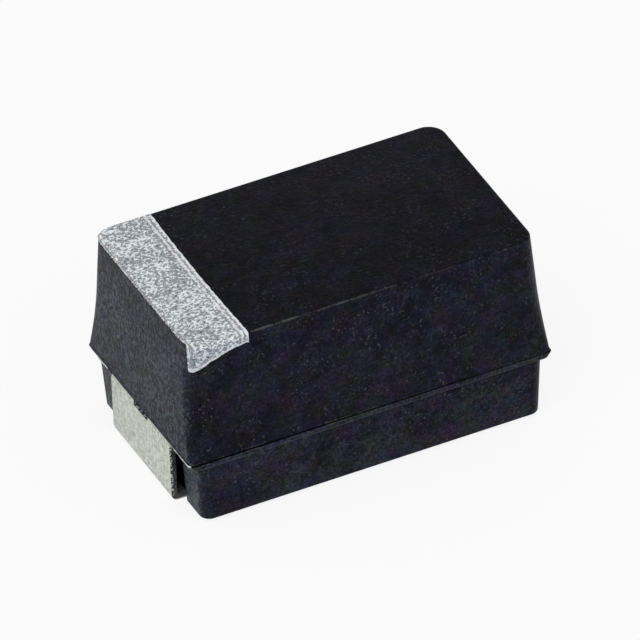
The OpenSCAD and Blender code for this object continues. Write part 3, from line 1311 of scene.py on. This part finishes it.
@dataclass
class PartingFlash:
    """Thin fins of resin flash at the parting line on both sides of the anode strip, coloured near white as
    a painted highlight along the end face's lower edge.
    """

    finish: bpy.types.Material
    root_x: float = -3.6
    edge_x: float = -3.64
    reach: float = 0.018
    least_share: float = 0.12
    fin_t: float = 0.03
    near_span: Span = (-2.13, -1.33)
    far_span: Span = (1.28, 1.76)
    steps_per_mm: float = 60.0
    tooth_per_mm: float = 5.0
    tooth_mean: float = 0.65
    tooth_swing: float = 0.9
    end_taper: float = 9.0
    smooth_deg: float = 30.0

    def fin(self, span: Span) -> Piece:
        """One fin with a ragged outer edge.

        Args:
            span: Its two ends along Y.

        Returns:
            The fin, in millimetres.
        """
        clear_selection()
        steps = int((span[1] - span[0]) * self.steps_per_mm)
        bpy.ops.mesh.primitive_grid_add(x_subdivisions=3, y_subdivisions=steps, size=1.0)
        sheet = bpy.context.object
        mesh = open_mesh(sheet, "VERT")
        for vertex in mesh.verts:
            out = 0.5 - vertex.co.x
            run = vertex.co.y + 0.5
            y = span[0] + (span[1] - span[0]) * run
            wave = noise.noise(Vector((y * self.tooth_per_mm, 1.7, 0.4)))
            tooth = max(self.least_share, self.tooth_mean + self.tooth_swing * wave)
            taper = min(1.0, self.end_taper * run, self.end_taper * (1.0 - run))
            tip = self.edge_x - self.reach * tooth * taper
            vertex.co = Vector((self.root_x + (tip - self.root_x) * out, y, PARTING_Z))
        bmesh.update_edit_mesh(sheet.data)
        bpy.ops.mesh.select_all(action="SELECT")
        bpy.ops.mesh.normals_make_consistent(inside=False)
        bpy.ops.object.mode_set(mode="OBJECT")
        apply_modifier(sheet, "SOLIDIFY", thickness=self.fin_t, offset=0.0)
        return sheet

    def build(self) -> Piece:
        """Both fins in one piece.

        Returns:
            The finished piece.
        """
        piece = join("parting_flash", [self.fin(self.near_span), self.fin(self.far_span)])
        hand_over(piece, self.finish, Slot.MOULDING, [], self.smooth_deg)
        return piece


@dataclass
class FoldedStrip:
    """Terminal: solder pad, upright face and entry under the overhang, folded from one strip."""

    end: End
    finish: bpy.types.Material
    thickness: float = 0.12
    bend_r: float = 0.07
    foot_bend_r: float = 0.02
    pad_l: float = 1.3
    bend_steps: int = 10
    entry_l: float = 0.35
    slot_w: float = 0.56
    slot_depth: float = 0.165
    slot_in: float = 0.22
    inner_w: float = 1.3
    burr_r: float = 0.008
    burr_from_deg: float = 50.0
    smooth_deg: float = 35.0

    def __post_init__(self) -> None:
        """Read the terminal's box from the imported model."""
        self.node = f"{self.end.name.lower()}_terminal"
        low, high = node_box_mm(self.node)
        self.face_x = max(abs(low.x), abs(high.x))
        self.half_w = high.y
        self.turn_x = self.face_x - self.thickness - self.bend_r

    def fold(self) -> Piece:
        """Fold the outer skin of the strip from a flat sheet, at the +X end, and lead it in.

        Returns:
            The open skin in edit mode, in millimetres.
        """
        foot_r = self.thickness + self.foot_bend_r
        foot_x = self.face_x - foot_r
        tip_x = self.face_x - self.pad_l
        bend_z = PARTING_Z - self.thickness - self.bend_r
        middle = ((tip_x + foot_x) / 2, 0.0, 0.0)
        clear_selection()
        bpy.ops.mesh.primitive_plane_add(size=1.0, location=middle)
        skin = bpy.context.object
        open_mesh(skin, "EDGE")
        bpy.ops.mesh.select_all(action="SELECT")
        bpy.ops.transform.resize(value=(foot_x - tip_x, 2.0 * self.half_w, 1.0), center_override=middle)
        bpy.ops.object.mode_set(mode="OBJECT")
        take(skin)
        bpy.ops.object.transform_apply(location=True, rotation=True, scale=True)
        open_mesh(skin, "EDGE")
        for y in (-self.inner_w / 2, -self.slot_w / 2, self.slot_w / 2, self.inner_w / 2):
            slice_mesh(Vector((0.0, y, 0.0)), Vector((0.0, 1.0, 0.0)))
        self._spin_front(skin, Vector((foot_x, 0.0, 0.0)), Vector((foot_x, 0.0, foot_r)))
        self._draw_row(skin, Vector((self.face_x, 0.0, foot_r)), Vector((0.0, 0.0, bend_z - foot_r)))
        self._spin_front(skin, Vector((self.face_x, 0.0, bend_z)), Vector((self.turn_x, 0.0, bend_z)))
        self._draw_row(skin, Vector((self.turn_x, 0.0, PARTING_Z)), Vector((-self.entry_l, 0.0, 0.0)))
        return skin

    def _pick_row(self, skin: Piece, at: Vector) -> None:
        """Select the cross edges that lie at one place along the strip."""

        def here(place: Vector) -> bool:
            """Whether a place is on the row."""
            return math.hypot(place.x - at.x, place.z - at.z) < TOUCH * 10

        pick(skin, "EDGE", lambda edge: all(here(v.co) for v in edge.verts))

    def _draw_row(self, skin: Piece, at: Vector, way: Vector) -> None:
        """Draw a row of edges out along a straight way."""
        self._pick_row(skin, at)
        bpy.ops.mesh.extrude_region_move(TRANSFORM_OT_translate={"value": tuple(way)})

    def _spin_front(self, skin: Piece, at: Vector, centre: Vector) -> None:
        """Carry the front row of edges round one bend."""
        self._pick_row(skin, at)
        bpy.ops.mesh.spin(steps=self.bend_steps, angle=QUARTER_TURN, center=centre, axis=(0.0, 1.0, 0.0))

    def stamp_slot(self, skin: Piece) -> None:
        """Take out the slot that is stamped through the upper bend.

        Args:
            skin: The skin in edit mode.
        """
        floor_z = PARTING_Z - self.slot_depth
        half = self.slot_w / 2 + TOUCH
        slice_mesh(Vector((0.0, 0.0, floor_z)), Vector((0.0, 0.0, 1.0)))

        def inside(place: Vector) -> bool:
            """Whether a place is within the slot."""
            above = place.z > floor_z - TOUCH
            return above and abs(place.y) < half and place.x > self.face_x - self.slot_in

        pick(skin, "FACE", lambda face: all(inside(v.co) for v in face.verts))
        bpy.ops.mesh.delete(type="FACE")

    def finish_sheet(self, skin: Piece) -> None:
        """Mirror to the right end, thicken the skin inwards and break its sheared edges.

        Args:
            skin: The open skin.
        """
        if self.end is End.ANODE:
            open_mesh(skin, "VERT")
            bpy.ops.mesh.select_all(action="SELECT")
            bpy.ops.transform.resize(value=(-1.0, 1.0, 1.0), center_override=(0.0, 0.0, 0.0))
        weld_sheet(skin, -1.0)
        apply_modifier(skin, "SOLIDIFY", thickness=self.thickness, offset=-1.0, use_even_offset=True)
        sharp = math.radians(self.burr_from_deg)
        edges = {"limit_method": "ANGLE", "angle_limit": sharp}
        apply_modifier(skin, "BEVEL", width=self.burr_r, segments=2, **edges)

    def build(self) -> Piece:
        """Whole terminal, with a slot at the anode end only.

        Returns:
            The finished piece.
        """
        skin = self.fold()
        if self.end is End.ANODE:
            self.stamp_slot(skin)
        self.finish_sheet(skin)
        skin.name = f"{self.node}_strip"
        hand_over(skin, self.finish, Slot.STRIP, [self.node], self.smooth_deg)
        return skin


@dataclass
class PolarityBand:
    """Marked skin across the top at the anode end, hanging over the front edge."""

    finish: bpy.types.Material
    case: Piece
    columns: int = 64
    top_rows: int = 190
    hem_rows: int = 30
    proud: float = 0.007
    skin_t: float = 0.02
    outer_over: float = 0.1
    far_over: float = 0.05
    near_over: float = 0.04
    inner_x: float = -2.315
    inner_bow: float = 0.035
    hem_deepest: float = 0.56
    hem_shallow: float = 0.22
    hem_flat: float = 0.08
    hem_curve: float = 1.9
    corner_lift: float = 0.5
    corner_centre: Span = (-3.12, -1.7)
    corner_ease: float = 12.0
    hem_taper: float = 0.07
    ragged: float = 0.012
    scallop_gain: float = 2.4
    inner_tooth_per_mm: float = 9.0
    scallop_per_mm: float = 7.0
    fine_tooth_per_mm: float = 23.0
    lift: float = 0.05
    smooth_deg: float = 60.0

    def __post_init__(self) -> None:
        """Read the case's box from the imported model."""
        self.low, self.high = node_box_mm("polarity_band")

    def inner_edge(self, y: float) -> float:
        """Place along X of the band's straight inner edge, slightly toothed.

        Args:
            y: Place along the band.

        Returns:
            The edge's X.
        """
        share = (y - self.low.y) / (self.high.y - self.low.y)
        bow = self.inner_bow * math.sin(math.pi * min(1.0, max(0.0, share)))
        tooth = self.ragged * noise.noise(Vector((y * self.inner_tooth_per_mm, 0.3, 2.0)))
        return self.inner_x - bow + tooth

    def round_corner(self, x: float, near_y: float) -> tuple[float, float]:
        """Place on the near outline of the top, carried round the case's corner.

        Args:
            x: Place along X, unrolled past the corner's start.
            near_y: Y of the outline along the near side.

        Returns:
            X and Y of the place.
        """
        centre_x, centre_y = self.corner_centre
        past = centre_x - x
        if past <= 0.0:
            return x, near_y
        radius = centre_y - near_y
        turn = past / radius
        return centre_x - radius * math.sin(turn), centre_y - radius * math.cos(turn)

    def hem_depth(self, x: float) -> float:
        """Depth that the band hangs to below the top.

        Args:
            x: Place along X.

        Returns:
            The depth.
        """
        start = self.low.x + self.hem_flat
        share = min(1.0, max(0.0, (x - start) / (self.inner_x - start)))
        fall = self.hem_shallow + (self.hem_deepest - self.hem_shallow) * (1.0 - share) ** self.hem_curve
        past = min(1.0, max(0.0, (self.low.x - x) / self.outer_over))
        scallop = self.ragged * self.scallop_gain * noise.noise(Vector((x * self.scallop_per_mm, 4.7, 1.0)))
        fine = self.ragged * noise.noise(Vector((x * self.fine_tooth_per_mm, 2.7, 5.0)))
        return fall * (1.0 - self.corner_lift * past**2) + scallop + fine

    def place_on_sheet(self, across: float, along: float) -> Vector:
        """Place of a point of the sheet, over the top and down the hem.

        Args:
            across: Share from the outer to the inner edge.
            along: Share from the far edge to the hem's rim.

        Returns:
            The place, in millimetres.
        """
        top_shade_share = self.top_rows / (self.top_rows + self.hem_rows)
        far_y = self.high.y + self.far_over
        near_y = self.low.y - self.near_over
        run = min(1.0, along / top_shade_share)
        fall = max(0.0, (along - top_shade_share) / (1.0 - top_shade_share))
        outer = self.low.x - self.outer_over + self.hem_taper * fall
        x = outer + (self.inner_edge(far_y + (near_y - far_y) * run) - outer) * across
        round_x, round_y = self.round_corner(x, near_y)
        eased = run**self.corner_ease
        height = self.high.z + self.lift - fall * (self.hem_depth(x) + self.lift)
        return Vector((x + (round_x - x) * eased, far_y + (round_y - far_y) * run, height))

    def cut_sheet(self) -> Piece:
        """Cut a fine sheet to the band's outline and fold its front edge down.

        Returns:
            The folded sheet, in millimetres.
        """
        clear_selection()
        bpy.ops.mesh.primitive_grid_add(
            x_subdivisions=self.columns,
            y_subdivisions=self.top_rows + self.hem_rows,
            size=1.0,
            location=(0.0, 0.0, 0.0),
            calc_uvs=True,
        )
        sheet = bpy.context.object
        mesh = open_mesh(sheet, "VERT")
        for vertex in mesh.verts:
            vertex.co = self.place_on_sheet(vertex.co.x + 0.5, 0.5 - vertex.co.y)
        bmesh.update_edit_mesh(sheet.data)
        bpy.ops.object.mode_set(mode="OBJECT")
        return sheet

    def shrink_on(self, sheet: Piece) -> None:
        """Shrink the sheet on to a millimetre copy of the case.

        Args:
            sheet: The folded sheet.
        """
        form = self.case.copy()
        form.data = self.case.data.copy()
        bpy.context.scene.collection.objects.link(form)
        form.parent = None
        form.matrix_world = Matrix.Scale(MM_PER_METRE, 4)
        take(form)
        bpy.ops.object.transform_apply(location=True, rotation=True, scale=True)
        apply_modifier(
            sheet,
            "SHRINKWRAP",
            target=form,
            wrap_method="NEAREST_SURFACEPOINT",
            wrap_mode="ABOVE_SURFACE",
            offset=self.proud,
        )
        bpy.data.objects.remove(form)

    def build(self) -> Piece:
        """Whole band: the sheet shrunk on to the case and thickened inwards.

        Returns:
            The finished piece.
        """
        sheet = self.cut_sheet()
        self.shrink_on(sheet)
        weld_sheet(sheet, 1.0)
        apply_modifier(sheet, "SOLIDIFY", thickness=self.skin_t, offset=-1.0, use_even_offset=False)
        sheet.name = "polarity_mark"
        hand_over(sheet, self.finish, Slot.BAND, ["polarity_band"], self.smooth_deg)
        return sheet


@dataclass
class BuriedElement:
    """Pellet, wire, washer, coats and joints inside the case, which keep their CAD shapes."""

    shelf: GroupShelf

    def finishes(self) -> dict[str, GrainyFinish]:
        """Finish of each buried node.

        Returns:
            The finishes by the node's name.
        """
        shelf = self.shelf
        return {
            "tantalum_pellet": GrainyFinish(
                shelf,
                (0.16, 0.16, 0.165),
                dark=(0.05, 0.05, 0.052),
                per_mm=6.0,
                roughness=0.75,
                metallic=0.3,
            ),
            "riser_wire": GrainyFinish(
                shelf,
                (0.38, 0.39, 0.42),
                dark=(0.24, 0.25, 0.27),
                per_mm=4.0,
                roughness=0.35,
                metallic=1.0,
                relief_mm=0.001,
            ),
            "washer": GrainyFinish(
                shelf,
                (0.84, 0.84, 0.82),
                dark=(0.72, 0.72, 0.70),
                per_mm=2.0,
                roughness=0.45,
                relief_mm=0.001,
            ),
            "manganese_dioxide_coat": GrainyFinish(
                shelf, (0.035, 0.033, 0.032), dark=(0.008, 0.008, 0.008), per_mm=9.0, roughness=0.85
            ),
            "graphite_coat": GrainyFinish(
                shelf, (0.06, 0.06, 0.063), dark=(0.018, 0.018, 0.019), per_mm=7.0, roughness=0.5
            ),
            "silver_coat": GrainyFinish(
                shelf, (0.68, 0.68, 0.66), dark=(0.42, 0.42, 0.40), per_mm=8.0, roughness=0.45, metallic=0.6
            ),
            "silver_adhesive": GrainyFinish(
                shelf, (0.62, 0.62, 0.60), dark=(0.38, 0.38, 0.36), per_mm=5.0, roughness=0.5, metallic=0.5
            ),
            "weld_nugget": GrainyFinish(
                shelf, (0.5, 0.5, 0.52), dark=(0.22, 0.22, 0.23), per_mm=5.0, roughness=0.3, metallic=1.0
            ),
        }

    def dress(self) -> None:
        """Give each buried node its own finish."""
        for node, finish in self.finishes().items():
            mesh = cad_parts[node].data
            mesh.materials.clear()
            mesh.materials.append(finish.make(f"{node}_finish"))
            LOG.info("%s: CAD shape kept, finish %s_finish", node, node)


# ---------------------------------------------------------------- studio


@dataclass(frozen=True)
class Lamp:
    """A soft square lamp that looks at the chip.

    Its level is the light that it adds on a surface facing it, where 1 shows colours as written.
    """

    name: str
    place_mm: tuple[float, float, float]
    size_mm: float
    level: float

    def hang(self) -> None:
        """Hang the lamp."""
        place = Vector(self.place_mm) * METRES_PER_MM
        data = bpy.data.lights.new(self.name, "AREA")
        data.shape = "SQUARE"
        data.size = self.size_mm * METRES_PER_MM
        data.energy = self.level * math.pi**2 * place.length**2
        lamp = bpy.data.objects.new(self.name, data)
        bpy.context.scene.collection.objects.link(lamp)
        aim = (-place).to_track_quat("-Z", "Y").to_matrix().to_4x4()
        lamp.matrix_world = Matrix.Translation(place) @ aim


@dataclass
class Studio:
    """Pale floor, even light from all round, two soft lamps and the camera."""

    azimuth_deg: float = -24.19
    elevation_deg: float = 36.67
    roll_deg: float = -2.80
    lens_mm: float = 1500.0
    sensor_mm: float = 36.0
    field_mm: float = 11.604
    aim_z_mm: float = 2.04
    aim_right_mm: float = 0.0358
    aim_up_mm: float = -0.0390
    sky_level: float = 0.62
    floor_albedo: float = 0.92
    floor_glow: float = 0.86
    floor_size: float = 1.6
    floor_gap: float = 1e-6
    floor_sides: int = 96
    lamps: tuple[Lamp, ...] = (
        Lamp("key_lamp", (-90.0, -60.0, 120.0), size_mm=120.0, level=0.28),
        Lamp("fill_lamp", (70.0, -130.0, 70.0), size_mm=120.0, level=0.12),
    )

    def white_where_seen(self, bench: NodeBench) -> Socket:
        """Mask of the rays that see the white surroundings: camera, glossy and transmitted.

        Args:
            bench: The floor material's bench.

        Returns:
            The mask.
        """
        path = bench.add("ShaderNodeLightPath")
        seen = bench.math("MAXIMUM", path.outputs["Is Camera Ray"], path.outputs["Is Glossy Ray"])
        return bench.math("MAXIMUM", seen, path.outputs["Is Transmission Ray"])

    def set_world(self) -> None:
        """Even pale surroundings."""
        world = bpy.data.worlds.new("studio_surroundings")
        bpy.context.scene.world = world
        world.use_nodes = True
        sky = world.node_tree.nodes["Background"]
        sky.inputs["Color"].default_value = (1.0, 1.0, 1.0, 1.0)
        sky.inputs["Strength"].default_value = self.sky_level

    def lay_floor(self) -> None:
        """Pale floor under the pads, which keeps the chip's soft shadow."""
        clear_selection()
        bpy.ops.mesh.primitive_circle_add(
            vertices=self.floor_sides,
            radius=self.floor_size / 2,
            fill_type="NGON",
            location=(0.0, 0.0, CAD_BOX[0].z - self.floor_gap),
        )
        floor = bpy.context.object
        floor.name = "studio_floor"
        material = bpy.data.materials.new("pale_floor")
        material.use_nodes = True
        material.node_tree.nodes.clear()
        bench = NodeBench(material.node_tree)
        paint = bench.add("ShaderNodeBsdfDiffuse")
        paint.inputs["Color"].default_value = (self.floor_albedo,) * 3 + (1.0,)
        glow = bench.add("ShaderNodeEmission")
        glow.inputs["Color"].default_value = (1.0, 1.0, 1.0, 1.0)
        glow.inputs["Strength"].default_value = 1.0
        mix = bench.add("ShaderNodeMixShader")
        share = bench.times(self.white_where_seen(bench), self.floor_glow)
        for socket, value in zip(mix.inputs, (share, paint.outputs[0], glow.outputs[0])):
            bench.wire(socket, value)
        bench.wire(bench.add("ShaderNodeOutputMaterial").inputs["Surface"], mix.outputs[0])
        floor.data.materials.append(material)

    def set_camera(self) -> None:
        """Long lens on the view from the front left and above, slightly rolled."""
        az = math.radians(self.azimuth_deg)
        el = math.radians(self.elevation_deg)
        roll = math.radians(self.roll_deg)
        back = Vector((math.sin(az) * math.cos(el), -math.cos(az) * math.cos(el), math.sin(el)))
        level = Vector((math.cos(az), math.sin(az), 0.0))
        upright = back.cross(level)
        across = level * math.cos(roll) + upright * math.sin(roll)
        rise = upright * math.cos(roll) - level * math.sin(roll)
        distance = self.lens_mm * self.field_mm / self.sensor_mm
        aim = Vector((0.0, 0.0, self.aim_z_mm)) + across * self.aim_right_mm + rise * self.aim_up_mm
        place = (aim + back * distance) * METRES_PER_MM
        data = bpy.data.cameras.new("studio_camera")
        data.sensor_width = self.sensor_mm
        data.lens = self.lens_mm
        data.clip_start = distance * 0.5 * METRES_PER_MM
        data.clip_end = distance * 3.0 * METRES_PER_MM
        camera = bpy.data.objects.new("studio_camera", data)
        bpy.context.scene.collection.objects.link(camera)
        turn = Matrix((across, rise, back)).transposed().to_4x4()
        camera.matrix_world = Matrix.Translation(place) @ turn
        bpy.context.scene.camera = camera

    def build(self) -> None:
        """Set the whole studio up."""
        bpy.context.scene.view_settings.view_transform = "Standard"
        self.set_world()
        self.lay_floor()
        for lamp in self.lamps:
            lamp.hang()
        self.set_camera()
        LOG.info("studio: floor, surroundings, %d lamps and camera", len(self.lamps))


def main() -> None:
    """Build the studio, then every sub-assembly in order."""
    logging.basicConfig(level=logging.INFO, format="%(name)s %(message)s")
    Studio().build()
    shelf = GroupShelf()
    strip = StripFinish(shelf).make("matt_tin_plate")
    case = Moulding(MouldingFinish(shelf).make("black_epoxy")).build()
    for end in End:
        FoldedStrip(end, strip).build()
    PolarityBand(BandFinish(shelf).make("silvery_mark"), case).build()
    # Near-white finish of the flash fins: real fins of flash, with a painted highlight as their colour.
    resin = GrainyFinish(shelf, (0.95, 0.95, 0.94), dark=(0.30, 0.31, 0.32), per_mm=5.0, roughness=0.45)
    PartingFlash(resin.make("flash_painted_highlight")).build()
    BuriedElement(shelf).dress()


if __name__ == "__main__":
    main()
